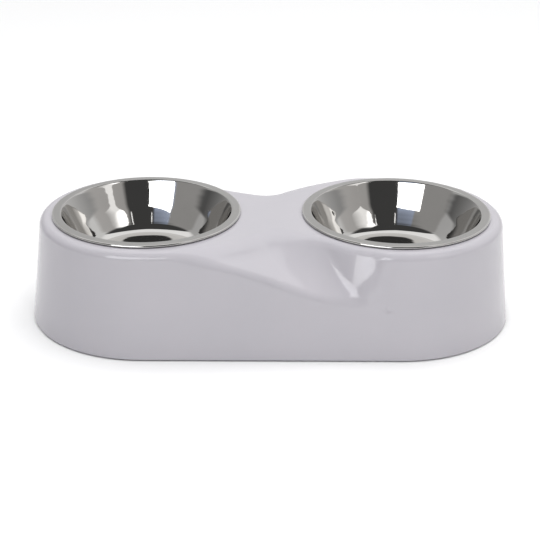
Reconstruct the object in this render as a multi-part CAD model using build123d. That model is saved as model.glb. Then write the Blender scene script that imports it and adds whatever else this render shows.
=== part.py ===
from build123d import *
import math
import os

# Double pet bowl: a hollow moulded stand with two steel bowls that lift out.
# Millimetres, +Z up, +X to the right bowl, origin on the floor under the middle.

# Stand, outside
bowl_spacing = 175.0       # between the two bowl axes
base_radius = 82.5         # of both round ends, at the floor
draft_angle = 6.2          # lean of the walls, degrees
stand_height = 75.0        # floor to the flat top of the collars
edge_radius = 5.0          # rounded top edge
ramp_drop_x = 29.5         # fall of the saddle from the middle along to a bowl axis
ramp_drop_y = 36.6         # fall of the saddle from the middle out to the base edge
ramp_softness = 15.0       # how gently the saddle starts to fall
join_radius = 36.0         # hollow fillet between saddle and collar, near the middle
join_radius_end = 8.0      # the same fillet near a bowl axis
join_clear = 12.5          # bowl axis to where the fillet starts to open
join_run = 75.0            # length over which it opens
wall_start = 20.0          # distance from the middle plane where the fillet starts to tighten
wall_run = 55.0            # depth over which it tightens
wall_share = 0.50          # how much it tightens
flank_slope = 0.466        # lean of the collar's flank over the low saddle, at the top
flank_bend = 0.0027        # how the flank grows steeper with depth
flank_cut = 4.0            # how far the flank cuts into the collar at the top
flank_clear = 10.0         # bowl axis to where the flank starts
flank_run = 14.0           # length over which it grows to its full lean
flank_start = 30.0         # distance from the middle plane where the flank starts
flank_depth = 30.0         # depth over which it grows to its full lean
foot_gap = 1.2             # floor to the lower edge of the stand

# Stand, inside
wall = 2.6
collar_width = 14.9        # top of the wall in to the edge of a well
well_clearance = 0.3       # between a bowl's wall and the edge of its well
sleeve_wall = 2.4
sleeve_depth = 14.0
well_chamfer = 0.6

# Bowl
steel = 0.8
flange_width = 6.2         # inner edge out to the outermost edge of the rim
rim_gap = 0.3              # flange edge to the top of the collar
hem_radius = 0.9           # rolled outer edge of the flange
crest_height = 2.4         # top of the flange above the collar
rim_bend = 1.1             # bend from the flange down into the wall
bowl_depth = 31.5          # top of the collar down to the inside floor
wall_lean = 28.0           # bowl wall from upright, degrees
floor_fillet = 11.0

# Feet
foot_radius = 8.0
foot_thickness = 2.4
foot_edge = 0.6
foot_inset = 12.0          # foot axis in from the base edge
foot_angle = 45.0
stem_radius = 2.7
stem_length = 6.0
stem_clearance = 0.3
boss_radius = 7.0
boss_height = 12.0
boss_web = 3.0             # rib that ties a boss to the wall

half_spacing = bowl_spacing / 2
ramp_fall_x = ramp_drop_x / half_spacing
ramp_fall_y = ramp_drop_y / base_radius
lean = math.tan(math.radians(draft_angle))
lean_cos = math.cos(math.radians(draft_angle))
top_radius = base_radius - stand_height * lean
well_radius = top_radius - collar_width
wall_tan = math.tan(math.radians(wall_lean))
wall_cos = math.cos(math.radians(wall_lean))
bowl_radius = well_radius - (well_clearance + steel) / wall_cos + (crest_height + well_chamfer) * wall_tan
rim_radius = bowl_radius + flange_width
foot_circle = base_radius - foot_inset
ramp_cos = 1 / math.sqrt(1 + ramp_fall_x**2 + ramp_fall_y**2)


def round_cut(a, b, r):
    """Common part of two bodies, given as distances, with a rounded edge."""
    return min(-r, max(a, b)) + math.hypot(max(r + a, 0), max(r + b, 0))


def round_join(a, b, r):
    """Two bodies together, given as distances, with a hollow fillet."""
    return max(r, min(a, b)) - math.hypot(max(r - a, 0), max(r - b, 0))


def eased(t):
    """0 below 0, 1 above 1 and a smooth S between."""
    t = min(max(t, 0), 1)
    return t * t * (3 - 2 * t)


def flank_distance(x, y, z):
    """Distance outside the right collar, whose flank leans more where it stands over the saddle."""
    share = eased((half_spacing - flank_clear - x) / flank_run) * eased((-y - flank_start) / flank_depth)
    below = max(stand_height - z, 0)
    slope = lean + share * (flank_slope - lean - 2 * flank_bend * below)
    radius = base_radius - z * lean
    radius += share * ((flank_slope - lean - flank_bend * below) * below - flank_cut)
    return (math.hypot(x - half_spacing, y) - radius) / math.sqrt(1 + slope**2)


def stand_distance(x, y, z):
    """Distance outside the stand for the half with y <= 0, between the two bowl axes."""
    half_depth = base_radius - z * lean
    long_wall = (-y - half_depth) * lean_cos
    flank = flank_distance(x, y, z)
    left_cone = (math.hypot(x + half_spacing, y) - half_depth) * lean_cos
    u = abs(ramp_fall_x * x - ramp_fall_y * y)
    fall = u * u / (4 * ramp_softness) if u < 2 * ramp_softness else u - ramp_softness
    s = min(fall, edge_radius)
    ramp = (z - stand_height + fall) * ramp_cos + math.sqrt(s * (2 * edge_radius - s)) - edge_radius
    opening = (join_radius - join_radius_end) * (1 - wall_share * eased((-y - wall_start) / wall_run))
    low_join = join_radius_end + opening * eased((half_spacing - join_clear - x) / join_run)
    high_join = join_radius_end + opening * eased((half_spacing - join_clear + x) / join_run)
    body = round_join(left_cone, round_join(flank, ramp, low_join), high_join)
    body = round_cut(body, z - stand_height, edge_radius)
    crease = min(edge_radius, (half_spacing - x) ** 2 / (2 * top_radius))
    return round_cut(long_wall, body, crease)


def skin_point(x, angle, depth, z0):
    """Where a ray from (x, 0, z0) meets the skin lying depth inside the outer one."""
    low = 0.0
    high = 2 * base_radius
    for step in range(40):
        mid = (low + high) / 2
        inside = stand_distance(x, -mid * math.cos(angle), z0 + mid * math.sin(angle)) + depth < 0
        low = mid if inside else low
        high = high if inside else mid
    return (-low * math.cos(angle), z0 + low * math.sin(angle))


# Ray angles, close together where the edges and creases lie
crease_fall = ramp_fall_x * half_spacing + ramp_fall_y * base_radius - ramp_softness
angle_low = math.degrees(math.atan2(stand_height - crease_fall, base_radius)) - 3
angle_high = math.degrees(math.atan2(stand_height, top_radius - 2 * edge_radius))
ray_angles = [angle_low * i / 7 for i in range(7)]
ray_angles += [angle_low + (angle_high - angle_low) * i / 48 for i in range(48)]
ray_angles += [angle_high + (90.0 - angle_high) * i / 13 for i in range(14)]


def half_profile(x, depth, z0):
    return [skin_point(x, math.radians(a), depth, z0) for a in ray_angles]


def spline_steps(points):
    """Share of the whole length at each point, for one common pace along every section."""
    total = [0.0]
    for p, q in zip(points, points[1:]):
        total.append(total[-1] + math.dist(p, q))
    return [t / total[-1] for t in total]


def stand_solid(depth, z0):
    """Solid inside the skin that lies depth within the outer one, standing on z0."""
    pace = spline_steps(half_profile(0.0, depth, z0))
    back_pace = [1 - t for t in reversed(pace)]
    wall_up = Vector(0, lean, 1)
    wires = []
    for x in [half_spacing * (i / 20 - 1) for i in range(41)]:
        front = [Vector(x, y, z) for y, z in half_profile(x, depth, z0)]
        back = [Vector(x, -y, z) for y, z in reversed(half_profile(-x, depth, z0))]
        rise = Edge.make_spline(front, tangents=[wall_up, Vector(0, 1, 0)], parameters=pace)
        sink = Edge.make_spline(back, tangents=[Vector(0, 1, 0), Vector(0, lean, -1)], parameters=back_pace)
        wires.append(Wire([rise, sink, Edge.make_line(back[-1], front[0])]))
    bridge = Solid.make_loft(wires)
    points = [Vector(half_spacing, y, z) for y, z in half_profile(half_spacing, depth, z0)]
    edge = Edge.make_spline(points, tangents=[wall_up, Vector(0, 1, 0)], parameters=pace)
    foot = Vector(half_spacing, 0, z0)
    half = Face(Wire([edge, Edge.make_line(points[-1], foot), Edge.make_line(foot, points[0])]))
    right_end = revolve(half, Axis((half_spacing, 0, 0), (0, 0, 1)), 180)
    left_end = right_end.rotate(Axis.Z, 180)
    return bridge.fuse(right_end, left_end)


def stand_shell():
    """Hollow stand with two wells, their sleeves and four bosses for the feet."""
    sleeve_floor = stand_height - sleeve_depth
    low = (Align.CENTER, Align.CENTER, Align.MIN)
    shell = stand_solid(0.0, foot_gap) - stand_solid(wall, foot_gap - wall)
    for side in (-1, 1):
        sleeve = Cylinder(well_radius + sleeve_wall, sleeve_depth - wall / 2, align=low)
        shell += Pos(side * half_spacing, 0, sleeve_floor) * sleeve
    for turn in foot_turns:
        shell += foot_place(turn) * foot_boss()
    well = Cylinder(well_radius, sleeve_depth + 2 * wall, align=low)
    mouth = Cone(well_radius, well_radius + 2 * well_chamfer, 2 * well_chamfer, align=low)
    for side in (-1, 1):
        axis = Pos(side * half_spacing, 0, 0)
        shell -= axis * Pos(0, 0, sleeve_floor - wall) * well
        shell -= axis * Pos(0, 0, stand_height - well_chamfer) * mouth
    for turn in foot_turns:
        hole = Cylinder(stem_radius + stem_clearance, stem_length + stem_clearance, align=low)
        shell -= foot_place(turn) * Pos(0, 0, foot_thickness) * hole
    return shell


# Feet: name, side of the bowl axis, turn about that axis
foot_turns = {
    "foot_front_left": (-1, 180 + foot_angle),
    "foot_front_right": (1, -foot_angle),
    "foot_back_left": (-1, 180 - foot_angle),
    "foot_back_right": (1, foot_angle),
}


def foot_place(name):
    side, turn = foot_turns[name]
    return Pos(side * half_spacing, 0, 0) * Rot(0, 0, turn) * Pos(foot_circle, 0, 0)


def foot_boss():
    """Round boss over a foot, tied to the wall by a rib."""
    low = (Align.CENTER, Align.CENTER, Align.MIN)
    boss = Cylinder(boss_radius, boss_height, align=low)
    reach = base_radius - wall / 2 - (foot_thickness + boss_height) * lean - foot_circle
    rib = Box(reach, boss_web, boss_height, align=(Align.MIN, Align.CENTER, Align.MIN))
    return Pos(0, 0, foot_thickness) * (boss + rib)


def foot():
    """Rubber pad with a rounded lower edge and a stem."""
    low = (Align.CENTER, Align.CENTER, Align.MIN)
    pad = Cylinder(foot_radius, foot_thickness, align=low)
    pad = fillet(pad.edges().group_by(Axis.Z)[0], foot_edge)
    return pad + Pos(0, 0, foot_thickness) * Cylinder(stem_radius, stem_length, align=low)


def bowl():
    """Pressed bowl about the Z axis: floor, leaning wall, flange and rolled edge."""
    crest = stand_height + crest_height
    floor = stand_height - bowl_depth
    hem_r = rim_radius - hem_radius
    hem_z = stand_height + rim_gap + hem_radius
    foot_in = bowl_radius - (crest - floor) * wall_tan
    outside = bowl_radius + steel / wall_cos - steel * wall_tan
    foot_out = outside - (crest - floor) * wall_tan
    upper = FilletPolyline(
        (0, floor),
        (foot_in, floor),
        (bowl_radius, crest),
        (hem_r, hem_z + hem_radius),
        radius=[floor_fillet, rim_bend],
    )
    lower = FilletPolyline(
        (0, floor - steel),
        (foot_out, floor - steel),
        (outside, crest - steel),
        (hem_r, hem_z + hem_radius - steel),
        radius=[floor_fillet + steel, rim_bend - steel],
    )
    section = make_face([upper, lower, Line(upper @ 0, lower @ 0), Line(upper @ 1, lower @ 1)])
    section += Pos(hem_r, hem_z) * Circle(hem_radius)
    return revolve(Plane.XZ * section, Axis.Z)


os.makedirs("parts", exist_ok=True)
export_step(stand_shell(), "parts/stand_shell.step")
export_step(Pos(-half_spacing, 0, 0) * bowl(), "parts/left_bowl.step")
export_step(Pos(half_spacing, 0, 0) * bowl(), "parts/right_bowl.step")
for name in foot_turns:
    export_step(foot_place(name) * foot(), f"parts/{name}.step")
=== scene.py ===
# %% [markdown]
# # Double pet bowl
# A hollow moulded stand carries two pressed steel bowls that lift straight out.
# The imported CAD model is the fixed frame. Each visible piece is made again here as a fine
# surface, because glossy plastic and polished steel show every facet in their reflections.

# %% Load the frame
import math
import bmesh
import bpy
import numpy as np
from mathutils import Matrix, Vector


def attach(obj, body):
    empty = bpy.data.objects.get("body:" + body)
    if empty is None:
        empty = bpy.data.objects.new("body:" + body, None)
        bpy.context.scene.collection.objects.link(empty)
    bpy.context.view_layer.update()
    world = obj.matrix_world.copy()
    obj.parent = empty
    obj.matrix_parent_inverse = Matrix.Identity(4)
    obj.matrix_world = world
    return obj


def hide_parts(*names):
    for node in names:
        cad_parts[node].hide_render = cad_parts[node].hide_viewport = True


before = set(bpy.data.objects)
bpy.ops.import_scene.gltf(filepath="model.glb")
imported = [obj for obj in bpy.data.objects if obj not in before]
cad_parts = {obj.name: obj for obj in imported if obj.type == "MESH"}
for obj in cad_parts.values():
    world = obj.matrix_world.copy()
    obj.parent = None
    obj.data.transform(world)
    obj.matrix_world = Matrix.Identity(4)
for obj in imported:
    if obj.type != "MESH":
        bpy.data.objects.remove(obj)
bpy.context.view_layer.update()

# %% [markdown]
# ## The stand's outer form
# The stand is a tapering oblong with two round collars. Between them a saddle falls towards the
# front right and the back left, so the form looks the same after half a turn. Where a collar stands
# over the low end of the saddle, its flank leans back and melts into a wide hollow.
# Sculpting or a subdivision cage could give it, but a distance formula gives the real radii:
# cones, walls and a ramp are joined with hollow fillets and cut with rounded edges.

# %% Sizes of the stand, in metres
half_spacing = 0.0875
base_radius = 0.0825
draft = math.radians(6.2)
lean, lean_cos = math.tan(draft), math.cos(draft)
stand_height = 0.075
foot_gap = 0.0012
wall = 0.0026
edge_radius = 0.005
top_radius = base_radius - stand_height * lean

ramp_drop_x, ramp_drop_y = 0.0295, 0.0366
fall_x, fall_y = ramp_drop_x / half_spacing, ramp_drop_y / base_radius
fall_softness = 0.015
ramp_edge, ramp_edge_fall = 0.003, 0.012

join_middle, join_small = 0.036, 0.008
join_clear, join_run = 0.0125, 0.075
wall_start, wall_run, wall_share = 0.020, 0.055, 0.50

flank_slope, flank_bend, flank_cut = 0.466, 2.7, 0.004
flank_clear, flank_run = 0.010, 0.014
flank_start, flank_depth = 0.030, 0.030
print("collar's top radius", round(top_radius, 4))

# %% Rounding two bodies


def round_cut(a, b, r):
    """Common part of two bodies: the larger distance, with a circular arc of radius r at the edge."""
    return np.minimum(-r, np.maximum(a, b)) + np.hypot(np.maximum(r + a, 0), np.maximum(r + b, 0))


def round_join(a, b, r):
    """Two bodies together: the smaller distance, with a hollow arc of radius r in the corner."""
    return np.maximum(r, np.minimum(a, b)) - np.hypot(np.maximum(r - a, 0), np.maximum(r - b, 0))


def eased(t):
    """0 below 0, 1 above 1 and a smooth S between."""
    t = np.clip(t, 0, 1)
    return t * t * (3 - 2 * t)


print("edge of two planes, rounded by 5 mm:", round(float(round_cut(0.0, 0.0, edge_radius)), 5), "m outside")

# %% Distance to the stand


def flank_distance(x, y, z):
    """Distance outside the right collar. Over the saddle its flank starts a little further in than
    the plain cone and leans more at the top than lower down, as a parabola does."""
    share = eased((half_spacing - flank_clear - x) / flank_run) * eased((-y - flank_start) / flank_depth)
    below = np.maximum(stand_height - z, 0)
    slope = lean + share * (flank_slope - lean - 2 * flank_bend * below)
    radius = base_radius - z * lean
    radius = radius + share * ((flank_slope - lean - flank_bend * below) * below - flank_cut)
    return (np.hypot(x - half_spacing, y) - radius) / np.sqrt(1 + slope**2)


def ramp_distance(x, y, z):
    """Distance outside the saddle, and how far it has fallen. The fall starts as a parabola and goes on
    as a straight ramp. The last term keeps the ridge at full height when the top edge is rounded."""
    u = np.abs(fall_x * x - fall_y * y)
    fall = np.where(u < 2 * fall_softness, u * u / (4 * fall_softness), u - fall_softness)
    s = np.minimum(fall, edge_radius)
    ramp = (z - stand_height + fall) / math.sqrt(1 + fall_x**2 + fall_y**2)
    return ramp + np.sqrt(s * (2 * edge_radius - s)) - edge_radius, fall


def stand_distance(x, y, z):
    """Distance outside the stand. The back half is the front half turned by 180 degrees.
    Beyond the bowl axes it is a cone cut by the top plane. Between them the collars and the
    falling saddle are joined, then cut by the top plane and by the long wall."""
    flip = np.where(y > 0, -1.0, 1.0)
    x, y = x * flip, y * flip
    half_depth = base_radius - z * lean
    cone_right = (np.hypot(x - half_spacing, y) - half_depth) * lean_cos
    cone_left = (np.hypot(x + half_spacing, y) - half_depth) * lean_cos
    ramp, fall = ramp_distance(x, y, z)
    opening = (join_middle - join_small) * (1 - wall_share * eased((-y - wall_start) / wall_run))
    low_join = join_small + opening * eased((half_spacing - join_clear - x) / join_run)
    high_join = join_small + opening * eased((half_spacing - join_clear + x) / join_run)
    body = round_join(cone_left, round_join(flank_distance(x, y, z), ramp, low_join), high_join)
    body = round_cut(body, z - stand_height, edge_radius)
    crease = edge_radius + (ramp_edge - edge_radius) * np.clip(fall / ramp_edge_fall, 0, 1)
    crease = np.minimum(crease, (half_spacing - x) ** 2 / (2 * top_radius))
    between = round_cut((-y - half_depth) * lean_cos, body, crease)
    end = round_cut(np.minimum(cone_left, cone_right), z - stand_height, edge_radius)
    return np.where(np.abs(x) > half_spacing, end, between)


print("distance outside at the middle of the base:", round(float(stand_distance(0.0, 0.0, 0.0)), 4), "m")

# %% Rays to the skin
ray_limit = 0.2
halvings = 40


def reach(origin_x, azimuth, rise, depth):
    """Length of rays from the axis at origin_x, at a height of foot_gap, to the skin that lies
    depth inside the outer one: the bracket from 0 to ray_limit is halved many times."""
    azimuth, rise = np.broadcast_arrays(azimuth, rise)
    low, high = np.zeros(azimuth.shape), np.full(azimuth.shape, ray_limit)
    for _ in range(halvings):
        mid = (low + high) / 2
        run = mid * np.cos(rise)
        inside = stand_distance(origin_x + run * np.cos(azimuth), run * np.sin(azimuth),
                                foot_gap + mid * np.sin(rise)) + depth < 0
        low, high = np.where(inside, mid, low), np.where(inside, high, mid)
    return low


right_up = np.array([0.0, math.pi / 2])
end_and_top = reach(half_spacing, 0.0, right_up, 0.0)
print("from the right bowl's axis, reach to the end and to the top", end_and_top.round(4))

# %% [markdown]
# ## Rays round a well
# Each half of the stand is one grid. Its columns go once round the well, and its rows go from the
# base, or from the middle plane, up to the well's mouth, down the sleeve and back along the inside.
# A grid that follows the well keeps its edge clean, where a cut through a finished mesh would not.

# %% Columns and rows of one half
well_radius = 0.05945
well_chamfer = 0.0006
sleeve_wall = 0.0024
sleeve_start, sleeve_floor, sleeve_back = stand_height - 0.002, 0.061, 0.068
end_columns, side_columns, middle_columns = 91, 61, 141
rows_outside, crowding_outside = 96, 1.45
rows_inside, crowding_inside = 26, 1.2


def middle_section(depth, count):
    """Points of the skin in the plane x = 0, from the back base over the top to the front base."""
    rise = np.radians(np.linspace(0, 180, count))
    length = reach(0.0, np.where(rise < math.pi / 2, math.pi / 2, -math.pi / 2),
                   np.minimum(rise, math.pi - rise), depth)
    return length * np.cos(rise), foot_gap + length * np.sin(rise)


def column_directions(depth):
    """Azimuth round the right bowl's axis and lowest rise of every column: round the end, along the
    back base, over the middle section and along the front base."""
    end = np.radians(np.linspace(-90, 90, end_columns))
    run = np.linspace(half_spacing, 0, side_columns)[1:-1]
    side = np.full(run.shape, base_radius - foot_gap * lean - depth / lean_cos)
    y, z = middle_section(depth, middle_columns)
    back = np.arctan2(side, run - half_spacing)
    front = np.arctan2(-side, run[::-1] - half_spacing) + 2 * math.pi
    middle = np.arctan2(y, -half_spacing) % (2 * math.pi)
    azimuth = np.concatenate([end, back, middle, front])
    lowest = np.zeros(azimuth.shape)
    lowest[len(end) + len(back):-len(front)] = np.arctan2(z - foot_gap, np.hypot(half_spacing, y))
    return azimuth, lowest


def skin_rows(depth, mouth_radius, mouth_height, count, crowding):
    """Grid of skin points, columns by rows, from the lowest rise to the mouth of the well. A crowding
    over 1 brings the rows closer together towards the mouth: it is the power of the share left to go."""
    azimuth, lowest = column_directions(depth)
    top = math.atan2(mouth_height - foot_gap, mouth_radius)
    share = 1 - (1 - np.linspace(0, 1, count)) ** crowding
    rise = lowest[:, None] + (top - lowest[:, None]) * share[None, :]
    length = reach(half_spacing, azimuth[:, None], rise, depth)
    run = length * np.cos(rise)
    x = half_spacing + run * np.cos(azimuth[:, None])
    y = run * np.sin(azimuth[:, None])
    return np.stack([x, y, foot_gap + length * np.sin(rise)], -1), azimuth


outer, azimuth = skin_rows(0.0, well_radius + well_chamfer, stand_height, rows_outside, crowding_outside)
inner, _ = skin_rows(wall, well_radius + sleeve_wall, stand_height - wall, rows_inside, crowding_inside)
print("grid outside, columns by rows", outer.shape[:2], "and inside", inner.shape[:2])

# %% [markdown]
# ## Closing the shell
# The mouth of the well has a small rounded edge, then the sleeve runs down, turns under and joins
# the inner skin. Solidify could give the wall, but it would also thicken the sleeve's edge unevenly.

# %% The stand's mesh


def ring_rows(profile):
    """Carries a profile of (radius, height) round the well, at every column's azimuth."""
    r, z = np.asarray(profile, float).T
    x = half_spacing + r[None, :] * np.cos(azimuth)[:, None]
    y = r[None, :] * np.sin(azimuth)[:, None]
    return np.stack([x, y, np.broadcast_to(z, x.shape)], -1)


def grid_faces(columns, rows):
    """Four-cornered faces of a grid whose last column meets its first."""
    j, i = np.meshgrid(np.arange(columns), np.arange(rows - 1), indexing="ij")
    here, beyond = j * rows + i, (j + 1) % columns * rows + i
    return np.stack([here, beyond, beyond + 1, here + 1], -1).reshape(-1, 4)


def mesh_piece(name, points, faces, sharp_degrees=40):
    """Puts arrays of points and four-cornered faces into a mesh, merges doubles and smooths it."""
    mesh = bpy.data.meshes.new(name)
    mesh.from_pydata(points.reshape(-1, 3), [], faces)
    piece = bpy.data.objects.new(name, mesh)
    bpy.context.scene.collection.objects.link(piece)
    work = bmesh.new()
    work.from_mesh(mesh)
    bmesh.ops.remove_doubles(work, verts=work.verts, dist=2e-6)
    bmesh.ops.dissolve_degenerate(work, edges=work.edges, dist=1e-7)
    bmesh.ops.recalc_face_normals(work, faces=work.faces)
    work.to_mesh(mesh)
    work.free()
    mesh.polygons.foreach_set("use_smooth", np.ones(len(mesh.polygons), bool))
    mesh.set_sharp_from_angle(angle=math.radians(sharp_degrees))
    print(name, "points", len(mesh.vertices), "faces", len(mesh.polygons))
    return piece


lip = np.radians(np.linspace(0, 90, 6)[1:])
lip_profile = np.stack([well_radius + well_chamfer * (1 - np.sin(lip)),
                        stand_height - well_chamfer * (1 - np.cos(lip))], 1)
sleeve_profile = [(well_radius, z) for z in np.linspace(sleeve_start, sleeve_floor, 8)]
sleeve_profile += [(well_radius + sleeve_wall, z) for z in (sleeve_floor, sleeve_back)]
half = np.concatenate([outer, ring_rows(lip_profile), ring_rows(sleeve_profile), inner[:, ::-1]], 1)
columns, rows = half.shape[:2]
on_base = outer[:, 0, 2] < foot_gap + 1e-6
here = np.flatnonzero(on_base & np.roll(on_base, -1))
beyond = (here + 1) % columns
lower_edge = np.stack([here * rows, here * rows + rows - 1, beyond * rows + rows - 1, beyond * rows], -1)
turned = half * np.array([-1.0, -1.0, 1.0])
faces = np.concatenate([grid_faces(columns, rows), lower_edge])
stand = mesh_piece("stand", np.concatenate([half.reshape(-1, 3), turned.reshape(-1, 3)]),
                   np.concatenate([faces, faces + columns * rows]))
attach(stand, "stand")
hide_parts("stand_shell")

# %% [markdown]
# ## Turned pieces
# A bowl and a foot are both round about an upright axis, so one function carries a profile round it.
# Blender's Screw modifier does the same, but here the profile also gets its own rounded corners
# and the grid can be waved a little afterwards.

# %% Profiles and turning
wave_full_radius = 0.03


def rounded(points, radii, step):
    """Polyline with each inner corner replaced by an arc of its radius, as an array of points."""
    points = np.asarray(points, float)
    out = [points[:1]]
    for a, b, c, r in zip(points, points[1:], points[2:], radii):
        u, v = (a - b) / np.linalg.norm(a - b), (c - b) / np.linalg.norm(c - b)
        half_angle = math.acos(np.clip(u @ v, -1, 1)) / 2
        start, stop = b + u * r / math.tan(half_angle), b + v * r / math.tan(half_angle)
        centre = b + (u + v) / np.linalg.norm(u + v) * r / math.sin(half_angle)
        first = math.atan2(*(start - centre)[::-1])
        sweep = (math.atan2(*(stop - centre)[::-1]) - first + math.pi) % (2 * math.pi) - math.pi
        turn = first + np.linspace(0, sweep, max(5, int(abs(sweep) * r / step)))
        out.append(centre + r * np.stack([np.cos(turn), np.sin(turn)], 1))
    out.append(points[-1:])
    return np.concatenate(out)


def even(points, step):
    """The same line with points no further apart than step, its own points kept."""
    gap = np.linalg.norm(np.diff(points, axis=0), axis=1)
    counts = [max(2, math.ceil(g / step) + 1) for g in gap]
    parts = [np.linspace(p, q, n)[:-1] for p, q, n in zip(points, points[1:], counts)]
    return np.concatenate(parts + [points[-1:]])


def turned_piece(name, profile, axis, segments, wave=None):
    """Carries a profile of (radius, height) round an upright axis. A wave, given as a function of
    angle and height, moves points in or out, and less near the axis. Points with no radius merge
    into a pole."""
    angle = np.linspace(0, 2 * math.pi, segments, endpoint=False)[:, None]
    r, z = profile[None, :, 0], profile[None, :, 1]
    r = r + (wave(angle, z) * np.clip(r / wave_full_radius, 0, 1) if wave else 0 * angle)
    points = np.stack([axis[0] + r * np.cos(angle), axis[1] + r * np.sin(angle), z + 0 * r], -1)
    return mesh_piece(name, points, grid_faces(segments, len(profile)), 35)


print("a square corner, rounded:", rounded([(0, 0), (1, 0), (1, 1)], [0.5], 0.2).round(2).tolist())

# %% [markdown]
# ## The bowls
# Each bowl is one pressed sheet of stainless steel: a flat floor, a leaning wall that
# drops into the well, and a flange that ends in a rolled edge. The inside is polished, the flange
# is satin. Deep drawing leaves the polished wall slightly bent and wavy, and polished steel shows
# that at once: in a straight cone the reflections would be straight too. So each wall gets a bend
# of about a millimetre and far smaller waves. A normal map could fake the waves but not the bend.

# %% Sizes of a bowl
steel = 0.0008
bowl_radius = 0.0598
rim_radius = 0.066
rim_gap = 0.0003
hem = 0.0009
crest = stand_height + 0.0024
bowl_floor = stand_height - 0.0315
rim_bend = 0.0011
floor_fillet = 0.011
wall_lean = math.radians(28)
hem_tuck = 0.7
hem_turn_start, hem_turn_end = 90, -200
arc_step_inside, arc_step_outside = 0.0003, 0.0008
step_inside, step_outside = 0.0012, 0.003
bowl_segments = 240
print("bowl's depth under the flange", round(crest - bowl_floor, 4))

# %% Profile of a bowl


def bowl_profile():
    """Section of the sheet, from the floor's middle up the inside, over the flange, round the
    rolled edge and back down the outside."""
    drop = (crest - bowl_floor) * math.tan(wall_lean)
    outside = bowl_radius + steel / math.cos(wall_lean) - steel * math.tan(wall_lean)
    hem_r, hem_z = rim_radius - hem, stand_height + rim_gap + hem
    upper = [(0, bowl_floor), (bowl_radius - drop, bowl_floor), (bowl_radius, crest), (hem_r, hem_z + hem)]
    lower = [(0, bowl_floor - steel), (outside - drop, bowl_floor - steel), (outside, crest - steel),
             (hem_r - hem * hem_tuck, hem_z + hem - steel)]
    upper = rounded(upper, [floor_fillet, rim_bend], arc_step_inside)
    lower = rounded(lower, [floor_fillet + steel, rim_bend - steel], arc_step_outside)
    turn = np.radians(np.linspace(hem_turn_start, hem_turn_end, 24)[1:])
    roll = np.stack([hem_r + hem * np.cos(turn), hem_z + hem * np.sin(turn)], 1)
    return np.concatenate([even(upper, step_inside), roll, even(lower[::-1], step_outside)])


profile = bowl_profile()
print("points in the profile", len(profile))

# %% Bend and waves of the pressed wall
bend_low, bend_high = bowl_floor + 0.005, crest - 0.0008
bend_depth, bend_place, bend_softness = 0.0012, 0.36, 0.03
ridge_height, ridge_pitch = 5e-6, 0.0075
wave_height, wave_count, wave_twist = 12e-6, 5, 60


def pressed_wall(angle, z):
    """How far the wall stands out from a straight cone, as a function of angle and height. Two straight
    lines rise from the floor and from the rim and would meet at bend_depth, about a third of the way
    up. The wall follows the smaller of them, with a soft bend that stays just under 1 mm. On top lie
    ridges that run round, a few microns high, and five slow waves round the bowl. Both fade out at the
    floor and the rim."""
    share = np.clip((z - bend_low) / (bend_high - bend_low), 0, 1)
    lower, upper = share / bend_place, (1 - share) / (1 - bend_place)
    bend = np.clip((lower + upper) / 2 - np.sqrt(((lower - upper) / 2) ** 2 + bend_softness), 0, 1)
    ridges = ridge_height * np.sin(z / ridge_pitch * 2 * math.pi + 2 * np.sin(angle))
    waves = wave_height * np.sin(wave_count * angle + wave_twist * z)
    fade = np.clip(share * 6, 0, 1) * np.clip((1 - share) * 6, 0, 1)
    return bend_depth * bend + (ridges + waves) * fade


# %% The two bowls
bowls = {}
for side, name in ((-1, "left_bowl"), (1, "right_bowl")):
    piece = turned_piece(name + "_steel", profile, (side * half_spacing, 0.0), bowl_segments, pressed_wall)
    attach(piece, name + "_body")
    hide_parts(name)
    bowls[name] = piece

# %% [markdown]
# ## The feet
# Rubber feet keep the stand from sliding. Each is a pad with fine ring grooves underneath and a stem
# that is pressed into a boss of the stand, and a rib ties each boss to the wall. They show only from
# below. The same turning function makes them, so only their profiles are new.

# %% Sizes of feet, bosses and ribs
foot_radius, foot_thickness, foot_edge = 0.008, 0.0024, 0.0006
groove_depth, groove_pitch = 0.00025, 0.0011
stem_radius, stem_length, stem_chamfer, stem_clearance = 0.0027, 0.006, 0.0005, 0.0003
stem_top = foot_thickness + stem_length
foot_inset = 0.012
foot_circle = base_radius - foot_inset
boss_radius, boss_height = 0.007, 0.012
boss_top, hole_top = foot_thickness + boss_height, stem_top + stem_clearance
hole_radius = stem_radius + stem_clearance
rib_length, rib_width = 0.0091, 0.003
foot_segments, boss_segments = 64, 48
print("foot axes", round(foot_circle, 4), "from the bowl axes")

# %% Profiles of a foot and a boss, and a rib


def foot_profile():
    """Pad and stem, from the middle of the underside out, up and in to the top of the stem. The
    grooves are the upper halves of a sine along the radius, squared."""
    r = np.linspace(0, foot_radius - foot_edge, 49)
    groove = groove_depth * np.clip(np.sin(r / groove_pitch * 2 * math.pi), 0, 1) ** 2
    turn = np.radians(np.linspace(-90, 0, 6))[1:]
    corner = np.stack([r[-1] + foot_edge * np.cos(turn), foot_edge + foot_edge * np.sin(turn)], 1)
    upper = [(foot_radius, foot_thickness), (stem_radius, foot_thickness),
             (stem_radius, stem_top - stem_chamfer), (stem_radius - stem_chamfer, stem_top), (0, stem_top)]
    return np.concatenate([np.stack([r, groove], 1), corner, np.array(upper)])


def boss_profile():
    """Section of the boss, once round: underside, outside, top and the blind hole for the stem."""
    points = [(hole_radius, foot_thickness), (boss_radius, foot_thickness), (boss_radius, boss_top),
              (0, boss_top), (0, hole_top), (hole_radius, hole_top), (hole_radius, foot_thickness)]
    return even(np.array(points), 0.002)


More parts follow.
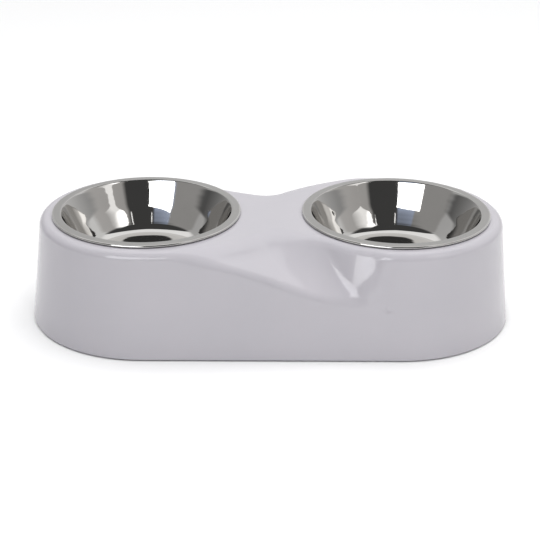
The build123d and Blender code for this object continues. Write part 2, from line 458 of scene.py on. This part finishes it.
def rib_piece(name, axis, outward):
    """Upright rib, a box that runs from a boss's axis outward to the wall."""
    u, v, w = np.meshgrid([0, rib_length], [-rib_width / 2, rib_width / 2], [foot_thickness, boss_top],
                          indexing="ij")
    x = axis[0] + u * outward[0] - v * outward[1]
    y = axis[1] + u * outward[1] + v * outward[0]
    sides = np.array([(0, 1, 3, 2), (4, 6, 7, 5), (0, 4, 5, 1), (2, 3, 7, 6), (0, 2, 6, 4), (1, 5, 7, 3)])
    return mesh_piece(name, np.stack([x, y, w], -1), sides)


# %% Four feet with their bosses and ribs
corners = {"foot_front_left": (-1, -1), "foot_front_right": (1, -1),
           "foot_back_left": (-1, 1), "foot_back_right": (1, 1)}
feet, bosses = [], []
for name, (side, depth) in corners.items():
    outward = (side * math.sqrt(0.5), depth * math.sqrt(0.5))
    axis = (side * half_spacing + foot_circle * outward[0], foot_circle * outward[1])
    foot = turned_piece(name + "_rubber", foot_profile(), axis, foot_segments)
    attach(foot, "stand")
    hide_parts(name)
    feet.append(foot)
    boss = turned_piece(name + "_boss", boss_profile(), axis, boss_segments)
    bosses += [boss, rib_piece(name + "_rib", axis, outward)]
for piece in bosses:
    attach(piece, "stand")
print(len(feet), "feet,", len(bosses), "bosses and ribs")

# %% [markdown]
# ## Finishes
# Every finish is a Principled shader with noise or waves on Object coordinates, so nothing slides
# when a piece moves. Pictures of plastic and steel could do it too, but they would need unwrapping
# and would show their grain in a close view.

# %% Material helpers


def new_material(name):
    """A material, its node tree and its shader, which is already linked to the output."""
    material = bpy.data.materials.new(name)
    material.use_nodes = True
    tree = material.node_tree
    shader = tree.nodes["Principled BSDF"]
    return material, tree, shader


def noise(tree, scale, detail, vector):
    """Cloudy noise around 0.5, with scale lumps to the metre."""
    node = tree.nodes.new("ShaderNodeTexNoise")
    node.inputs["Scale"].default_value = scale
    node.inputs["Detail"].default_value = detail
    tree.links.new(vector, node.inputs["Vector"])
    return node.outputs["Fac"]


def ramp(tree, value, stops):
    """Colour ramp from (place, colour) pairs."""
    node = tree.nodes.new("ShaderNodeValToRGB")
    elements = node.color_ramp.elements
    while len(elements) < len(stops):
        elements.new(0.5)
    for element, (place, colour) in zip(elements, stops):
        element.position, element.color = place, (*colour, 1.0)
    tree.links.new(value, node.inputs["Fac"])
    return node.outputs["Color"]


def greys(stops):
    """Stops for a ramp from (place, brightness) pairs."""
    return [(place, (v, v, v)) for place, v in stops]


def spread(tree, value, low, high):
    """Maps a value of 0 to 1 onto low to high."""
    node = tree.nodes.new("ShaderNodeMapRange")
    node.inputs["To Min"].default_value = low
    node.inputs["To Max"].default_value = high
    tree.links.new(value, node.inputs["Value"])
    return node.outputs["Result"]


def bump(tree, shader, height, strength, distance):
    """Bends the shading as if the height, 0 to 1, were distance metres high."""
    node = tree.nodes.new("ShaderNodeBump")
    node.inputs["Strength"].default_value = strength
    node.inputs["Distance"].default_value = distance
    tree.links.new(height, node.inputs["Height"])
    tree.links.new(node.outputs["Normal"], shader.inputs["Normal"])


def object_place(tree):
    """Place on the piece, in metres."""
    return tree.nodes.new("ShaderNodeTexCoord").outputs["Object"]


print("materials so far", len(bpy.data.materials))

# %% [markdown]
# ## Plastic
# The stand is a pale lilac grey plastic with a high gloss. A moulded surface is never one flat
# colour: it has a faint cloudiness, a gloss that varies a little and an almost invisible orange
# peel. One colour and one roughness would look like a computer picture of plastic.

# %% Lilac plastic


def lilac_plastic():
    """Two close lilac greys in soft clouds, glossy, with a fine orange peel."""
    material, tree, shader = new_material("lilac_plastic")
    place = object_place(tree)
    cloud = noise(tree, 18.0, 3.0, place)
    tones = [(0.3, (0.450, 0.436, 0.468)), (0.7, (0.470, 0.452, 0.484))]
    tree.links.new(ramp(tree, cloud, tones), shader.inputs["Base Color"])
    tree.links.new(spread(tree, noise(tree, 60.0, 2.0, place), 0.09, 0.13), shader.inputs["Roughness"])
    shader.inputs["IOR"].default_value = 1.5
    bump(tree, shader, noise(tree, 700.0, 2.0, place), 0.02, 0.0002)
    return material


plastic = lilac_plastic()
for piece in [stand] + bosses:
    piece.data.materials.append(plastic)
print("plastic on", len(bosses) + 1, "pieces")

# %% [markdown]
# ## Steel
# The inside of a bowl is polished almost to a mirror, the flange is satin and the outside is left as it came
# from the press. Every face that looks down is also made much darker than that plain steel: this is painted
# shade for the dark shadow under the rolled edge and under the bowl. All three have fine turning marks round
# the axis. They are one finish with other numbers, and the faces of one mesh choose among them by their
# place and direction, because separate pieces would leave seams in one pressed sheet.

# %% Steel
steel_colour = (0.635, 0.625, 0.610)


def steel_finish(name, axis_x, shade, roughness, ring_scale, ring_strength):
    """Stainless steel with turning marks: rings about the bowl's axis, broken up by noise."""
    material, tree, shader = new_material(name)
    place = object_place(tree)
    centre = tree.nodes.new("ShaderNodeMapping")
    centre.inputs["Location"].default_value = (-axis_x, 0, 0)
    tree.links.new(place, centre.inputs["Vector"])
    rings = tree.nodes.new("ShaderNodeTexWave")
    rings.wave_type = "RINGS"
    rings.rings_direction = "Z"
    rings.inputs["Scale"].default_value = ring_scale
    rings.inputs["Distortion"].default_value = 1.5
    rings.inputs["Detail"].default_value = 3.0
    tree.links.new(centre.outputs["Vector"], rings.inputs["Vector"])
    cloud = noise(tree, 40.0, 4.0, place)
    tones = [(0.3, tuple(0.97 * shade * c for c in steel_colour)),
             (0.7, tuple(1.03 * shade * c for c in steel_colour))]
    tree.links.new(ramp(tree, cloud, tones), shader.inputs["Base Color"])
    tree.links.new(spread(tree, cloud, roughness * 0.8, roughness * 1.2), shader.inputs["Roughness"])
    shader.inputs["Metallic"].default_value = 1.0
    bump(tree, shader, rings.outputs["Fac"], ring_strength, 0.0001)
    return material


print("steel colour", steel_colour)

# %% Finishes of each bowl
# The third finish is the rough press finish darkened to a shade of 0.45: painted shade under the rim and the
# bowl.
steel_looks = [("_polished", 1.0, 0.045, 180.0, 0.02), ("_satin", 0.72, 0.32, 600.0, 0.06),
               ("_press_finish_and_painted_shade", 0.45, 0.45, 300.0, 0.06)]
satin_inside, satin_outside, satin_low = 0.0600, 0.0650, stand_height + 0.0012
painted_shade_facing_down = -0.2


def per_face(mesh, what):
    """A face's centre or normal, as an array of one row to a face."""
    values = np.zeros(len(mesh.polygons) * 3)
    mesh.polygons.foreach_get(what, values)
    return values.reshape(-1, 3)


for side, name in ((-1, "left_bowl"), (1, "right_bowl")):
    mesh = bowls[name].data
    for ending, *look in steel_looks:
        mesh.materials.append(steel_finish(name + ending, side * half_spacing, *look))
    middle = per_face(mesh, "center")
    radius = np.hypot(middle[:, 0] - side * half_spacing, middle[:, 1])
    satin = (radius > satin_inside) & (radius < satin_outside) & (middle[:, 2] > satin_low)
    # Faces that look down take the darkened third finish, painted shade for the shadow under the rolled
    # edge.
    painted_shade_faces = per_face(mesh, "normal")[:, 2] < painted_shade_facing_down
    mesh.polygons.foreach_set("material_index", np.where(painted_shade_faces, 2, satin).astype(np.int32))
    print(name, "satin faces", int(satin.sum()), "underside faces", int(painted_shade_faces.sum()))

# %% [markdown]
# ## Rubber
# The feet are dark, matt rubber. A fine grain in colour, roughness and height keeps them from
# looking like black plastic.

# %% Rubber


def foot_rubber():
    """Two near blacks in a fine grain, which also makes it rough."""
    material, tree, shader = new_material("foot_rubber")
    place = object_place(tree)
    grain = noise(tree, 900.0, 4.0, place)
    tones = [(0.3, (0.030, 0.030, 0.032)), (0.7, (0.045, 0.045, 0.047))]
    tree.links.new(ramp(tree, grain, tones), shader.inputs["Base Color"])
    tree.links.new(spread(tree, grain, 0.7, 0.85), shader.inputs["Roughness"])
    bump(tree, shader, grain, 0.25, 0.0002)
    return material


rubber = foot_rubber()
for piece in feet:
    piece.data.materials.append(rubber)
print("rubber on", len(feet), "feet")

# %% [markdown]
# ## Floor
# The object stands on plain white, so the floor is one large pale sheet. It is far wider than the
# picture, so that no edge of it shows in the steel. A curved backdrop would look the same from the
# front but would stand in the way of the other views.

# %% Floor
floor_half = 12
floor_corners = [(-floor_half, -floor_half, 0), (floor_half, -floor_half, 0),
                 (floor_half, floor_half, 0), (-floor_half, floor_half, 0)]
floor_mesh = bpy.data.meshes.new("floor")
floor_mesh.from_pydata(floor_corners, [], [(0, 1, 2, 3)])
floor = bpy.data.objects.new("floor", floor_mesh)
bpy.context.scene.collection.objects.link(floor)
pale, _, shader = new_material("pale_floor")
shader.inputs["Base Color"].default_value = (0.9, 0.9, 0.9, 1)
shader.inputs["Roughness"].default_value = 0.9
shader.inputs["Specular IOR Level"].default_value = 0.1
floor_mesh.materials.append(pale)
print("floor", 2 * floor_half, "m wide")

# %% [markdown]
# ## Soft boxes
# The bright window in each bowl is a large soft box in front on the left, and the paler patch beside it
# is a panel on the right that fades across. In the steel the key light must be far brighter than it may
# be on the plastic, so it is two lights in one place: one for reflections and one for the plastic. One
# light for both would either burn out the plastic or leave the window grey.

# %% Soft boxes
lit_point = Vector((0, 0, 0.05))


def soft_box(name, upper_right, upper_left, height, radiance):
    """Rectangular light hung by its upper edge, given as two points. It faces the object as squarely
    as that edge lets it. Its power is the radiance times pi times its area."""
    p, q = Vector(upper_right), Vector(upper_left)
    along = (q - p).normalized()
    face = lit_point - (p + q) / 2
    face = (face - face.dot(along) * along).normalized()
    down = along.cross(face)
    down = down if down.z < 0 else -down
    middle = (p + q) / 2 + down * height / 2
    data = bpy.data.lights.new(name, "AREA")
    data.shape = "RECTANGLE"
    data.size, data.size_y = (q - p).length, height
    data.energy = radiance * math.pi * data.size * height
    lamp = bpy.data.objects.new(name, data)
    across = down.cross(face)
    lamp.matrix_world = Matrix((
        (across.x, -down.x, -face.x, middle.x),
        (across.y, -down.y, -face.y, middle.y),
        (across.z, -down.z, -face.z, middle.z),
        (0, 0, 0, 1)))
    lamp.visible_camera = False
    bpy.context.scene.collection.objects.link(lamp)
    print(name, "middle", [round(v, 2) for v in middle], "size", round(data.size, 2), height)
    return lamp


key_right, key_left, key_height = (-0.05, -1.19, 0.907), (-0.60, -0.605, 0.73), 0.60
key_panel = soft_box("key_panel", key_right, key_left, key_height, 4.0)
key_panel.visible_diffuse = False
key_glow = soft_box("key_glow", key_right, key_left, key_height, 1.0)
key_glow.visible_glossy = False
right_panel = soft_box("right_panel", (0.60, -0.20, 0.98), (0.60, -0.73, 0.98), 0.60, 1.0)

# %% Fading the right panel


def grade(lamp, across, upward):
    """Uneven glow of a panel: one ramp across it and one up it, multiplied."""
    lamp.data.use_nodes = True
    tree = lamp.data.node_tree
    split = tree.nodes.new("ShaderNodeSeparateXYZ")
    tree.links.new(tree.nodes.new("ShaderNodeNewGeometry").outputs["Parametric"], split.inputs["Vector"])
    mix = tree.nodes.new("ShaderNodeMix")
    mix.data_type = "RGBA"
    mix.blend_type = "MULTIPLY"
    mix.inputs["Factor"].default_value = 1.0
    tree.links.new(ramp(tree, split.outputs["X"], greys(across)), mix.inputs[6])
    tree.links.new(ramp(tree, split.outputs["Y"], greys(upward)), mix.inputs[7])
    tree.links.new(mix.outputs[2], tree.nodes["Emission"].inputs["Color"])


across_panel = [(0.0, 1.0), (0.4, 1.0), (1.0, 0.0)]
up_panel = [(0.0, 0.7), (0.48, 0.7), (0.62, 1.7), (1.0, 1.7)]
grade(right_panel, across_panel, up_panel)
print("right panel fades across and is brighter above", up_panel[1][0])

# %% [markdown]
# ## Fill lights
# White walls and a ceiling light the plastic evenly from all round. Broad lights that show in no
# reflection stand for them. A brighter world would do the same but would wash out the steel.

# %% Fill lights


def fill(name, azimuth, elevation, distance, size, radiance):
    """Broad square light that brightens the plastic but doesn't show in the steel. The azimuth goes
    from the front round to the right, in degrees."""
    a, e = math.radians(azimuth), math.radians(elevation)
    away = Vector((math.sin(a) * math.cos(e), -math.cos(a) * math.cos(e), math.sin(e)))
    data = bpy.data.lights.new(name, "AREA")
    data.shape = "SQUARE"
    data.size = size
    data.energy = radiance * math.pi * size * size
    lamp = bpy.data.objects.new(name, data)
    turn = away.to_track_quat("Z", "Y").to_matrix().to_4x4()
    lamp.matrix_world = Matrix.Translation(distance * away + lit_point) @ turn
    lamp.visible_glossy = lamp.visible_camera = False
    bpy.context.scene.collection.objects.link(lamp)
    return lamp


fills = [fill("top_right_fill", 90, 60, 1.5, 1.0, 0.7),
         fill("top_front_fill", 0, 65, 1.5, 1.0, 1.1),
         fill("front_fill", 5, 30, 1.5, 0.9, 1.7),
         fill("overhead_fill", 0, 90, 3.0, 4.0, 1.6)]
print("fill lights", [lamp.name for lamp in fills])

# %% [markdown]
# ## The studio as the steel sees it
# A polished bowl is a mirror of the whole room. Its bands follow the azimuth: grey walls on the left, a
# blue zone, a dark gap behind the camera, then paler walls on the right. Near the floor the room is a
# little different, and the ceiling is bright only towards the back. A ramp over the azimuth for each
# height says this in a few numbers. A picture of a room would be hard to read and to change.

# %% Arithmetic in the world's nodes
world = bpy.data.worlds.new("studio")
world.use_nodes = True
bpy.context.scene.world = world
sky = world.node_tree


def sums(operation, a, b=0.0):
    """One step of arithmetic in the world's nodes, on sockets or plain numbers."""
    node = sky.nodes.new("ShaderNodeMath")
    node.operation = operation
    for socket, value in zip(node.inputs, (a, b)):
        if isinstance(value, (int, float)):
            socket.default_value = value
        else:
            sky.links.new(value, socket)
    return node.outputs["Value"]


def step(value, low, high):
    """0 below low, 1 above high, smooth between."""
    node = sky.nodes.new("ShaderNodeMapRange")
    node.interpolation_type = "SMOOTHSTEP"
    node.inputs["From Min"].default_value = low
    node.inputs["From Max"].default_value = high
    sky.links.new(value, node.inputs["Value"])
    return node.outputs["Result"]


def mixed(share, first, second):
    """First colour where the share is 0, second where it is 1."""
    node = sky.nodes.new("ShaderNodeMix")
    node.data_type = "RGBA"
    sky.links.new(share, node.inputs["Factor"])
    sky.links.new(first, node.inputs[6])
    sky.links.new(second, node.inputs[7])
    return node.outputs[2]


direction = sky.nodes.new("ShaderNodeSeparateXYZ")
sky.links.new(sky.nodes.new("ShaderNodeTexCoord").outputs["Generated"], direction.inputs["Vector"])
x, y, z = direction.outputs
around = sums("ADD", sums("DIVIDE", sums("ARCTAN2", x, sums("MULTIPLY", y, -1.0)), 2 * math.pi), 0.5)
print("world nodes", len(sky.nodes))

# %% Walls round the object


def azimuth_ramp(stops):
    """Ramp over the azimuth, with its places in degrees, 0 in front and growing to the right."""
    return ramp(sky, around, [(degrees / 360 + 0.5, colour) for degrees, colour in stops])


wall_grey, wall_blue, gap_dark = (0.36, 0.355, 0.35), (0.42, 0.48, 0.62), (0.06, 0.06, 0.06)
walls = greys([(-180, 0.8), (-130, 0.55), (-93, 0.5)])
walls += [(-88, wall_grey), (-41, wall_grey), (-38, wall_blue), (-11, wall_blue)]
walls += [(-7, gap_dark), (35, gap_dark)]
walls += [(41, (0.45, 0.44, 0.43)), (66, (0.5, 0.49, 0.48)), (95, (0.55, 0.54, 0.53))]
walls += greys([(105, 0.8), (180, 0.8)])
nearby = greys([(-180, 0.8), (-130, 0.3), (-93, 0.1), (-50, 0.15), (0, 0.25), (45, 0.3), (90, 0.35),
                (130, 0.6), (180, 0.8)])
high_walls, low_walls = azimuth_ramp(walls), azimuth_ramp(nearby)
print("stops round the walls", len(walls), "and near the floor", len(nearby))

# %% Ceiling and two bright uprights
ceiling_slant_both, ceiling_slant_right, ceiling_slant_up = 0.235, 0.115, 0.07
slant_side = sums("ADD", sums("MULTIPLY", sums("ABSOLUTE", x), ceiling_slant_both),
                  sums("MULTIPLY", x, ceiling_slant_right))
behind = sums("SUBTRACT", y, sums("ADD", slant_side, sums("MULTIPLY", z, ceiling_slant_up)))
ceiling = ramp(sky, step(behind, -0.02, 0.02), [(0.0, gap_dark), (1.0, (1.1, 1.1, 1.1))])
upright_half_width, upright_top = 0.8, 0.71


def upright(azimuth, foot):
    """1 on a thin upright at an azimuth, from a foot's height to upright_top, and 0 elsewhere. Widths
    are in degrees, and heights are sines of the elevation."""
    off = sums("ABSOLUTE", sums("SUBTRACT", around, azimuth / 360 + 0.5))
    tall = sums("MULTIPLY", step(z, foot, foot + 0.01), step(z, upright_top + 0.01, upright_top))
    return sums("MULTIPLY", sums("LESS_THAN", off, upright_half_width / 360), tall)


uprights = sums("ADD", upright(34, 0.645), upright(-4.7, 0.675))
upright_white = ramp(sky, z, greys([(0.0, 1.6), (1.0, 1.6)]))
room = mixed(step(z, 0.62, 0.76), high_walls, ceiling)
room = mixed(uprights, room, upright_white)
room = mixed(step(z, 0.26, 0.34), low_walls, room)
sky.links.new(room, sky.nodes["Background"].inputs["Color"])
sky.nodes["Background"].inputs["Strength"].default_value = 1.0
print("world nodes", len(sky.nodes))

# %% [markdown]
# ## Camera
# The picture was taken with a long lens from about a metre, looking down at 24 degrees and tilted by
# less than half a degree. The angles, the focal length and the point looked at were fitted to the
# outlines of the stand and the rims. Placing a camera by eye would leave the ellipses slightly wrong.

# %% Camera
elevation, heading, roll = math.radians(24.058), math.radians(-0.447), math.radians(0.43)
camera_distance, look_at = 1.0, Vector((-0.000666, 0.0, 0.030785))
picture_pixels, focal_pixels, sensor_mm = 540, 1397.563, 36
level = math.cos(elevation)
back = Vector((math.sin(heading) * level, -math.cos(heading) * level, math.sin(elevation)))
right = (-back).cross(Vector((0, 0, 1))).normalized()
up = right.cross(-back)
right, up = math.cos(roll) * right + math.sin(roll) * up, -math.sin(roll) * right + math.cos(roll) * up
eye = look_at + back * camera_distance
camera = bpy.data.objects.new("camera", bpy.data.cameras.new("camera"))
camera.data.lens = focal_pixels * sensor_mm / picture_pixels
camera.data.sensor_width = sensor_mm
camera.matrix_world = Matrix((
    (right.x, up.x, back.x, eye.x),
    (right.y, up.y, back.y, eye.y),
    (right.z, up.z, back.z, eye.z),
    (0, 0, 0, 1)))
bpy.context.scene.collection.objects.link(camera)
bpy.context.scene.camera = camera
bpy.context.scene.view_settings.view_transform = "Standard"
print("camera at", [round(v, 3) for v in eye])
